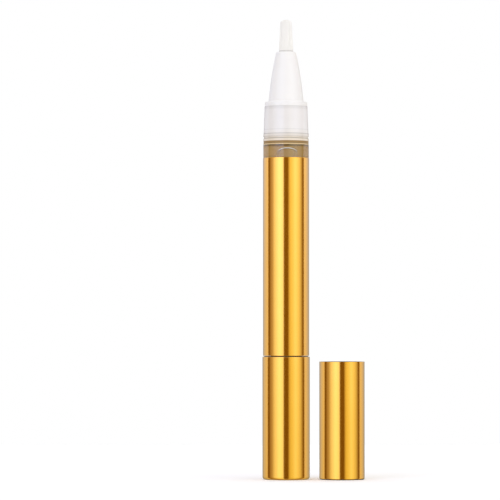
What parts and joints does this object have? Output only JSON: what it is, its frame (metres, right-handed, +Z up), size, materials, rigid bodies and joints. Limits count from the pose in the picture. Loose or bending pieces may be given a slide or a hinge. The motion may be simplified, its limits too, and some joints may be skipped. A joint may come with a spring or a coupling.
{
  "type": "nail oil pen",
  "caption": "Slim twist-up oil pen with a gold metal barrel, clear oil window, translucent collar, white nozzle cone and brush, with its cap standing beside it.",
  "frame": {"origin": "centre of the flat base of the knob, on which the pen stands", "axes": "+Z up the pen towards the brush, +X towards the cap that stands beside it"},
  "size_m": [0.0259, 0.012, 0.1168],
  "materials": {
    "gold_aluminium": "satin",
    "clear_plastic": "gloss",
    "translucent_plastic": "satin",
    "white_plastic": "satin",
    "nylon_bristle": "satin",
    "oil": "gloss",
    "gasket_rubber": "matte",
    "silicone": "satin",
    "drive_plastic": "satin",
    "liner_plastic": "satin",
    "rod_plastic": "satin",
    "piston_plastic": "satin"
  },
  "bodies": {
    "barrel": {"barrel_sleeve": "gold_aluminium", "reservoir_tube": "clear_plastic", "oil_fill": "oil", "shoulder_gasket": "gasket_rubber", "collar": "translucent_plastic", "seal_ring": "silicone", "nozzle_cone": "white_plastic", "brush_tuft": "nylon_bristle", "tube_holder": "white_plastic", "feed_tube": "clear_plastic", "feed_nut": "drive_plastic", "ratchet_sleeve": "drive_plastic"},
    "knob": {"knob_shell": "gold_aluminium", "knob_liner": "liner_plastic", "drive_sleeve": "drive_plastic", "click_ring": "drive_plastic"},
    "screw": {"screw_rod": "rod_plastic"},
    "plunger": {"piston": "piston_plastic"},
    "cap": {"cap_shell": "gold_aluminium", "cap_liner": "white_plastic"}
  },
  "joints": [
    {"name": "knob_twist", "type": "hinge", "parent": "barrel", "child": "knob", "pos_m": [0, 0, 0.0155], "axis": [0, 0, 1], "range_deg": [0, 6120], "deforming": ["click_ring"]},
    {"name": "screw_slide", "type": "slide", "parent": "knob", "child": "screw", "axis": [0, 0, 1], "range_m": [0, 0.034]},
    {"name": "piston_slide", "type": "slide", "parent": "barrel", "child": "plunger", "axis": [0, 0, 1], "range_m": [0, 0.034], "deforming": ["oil_fill"]},
    {"name": "cap_lift", "type": "slide", "parent": "barrel", "child": "cap", "axis": [0, 0, 1], "range_m": [0, 0.12]}
  ],
  "couplings": [
    {"joint": "screw_slide", "follows": "knob_twist", "m_per_rad": 0.0003183},
    {"joint": "piston_slide", "follows": "knob_twist", "m_per_rad": 0.0003183}
  ]
}
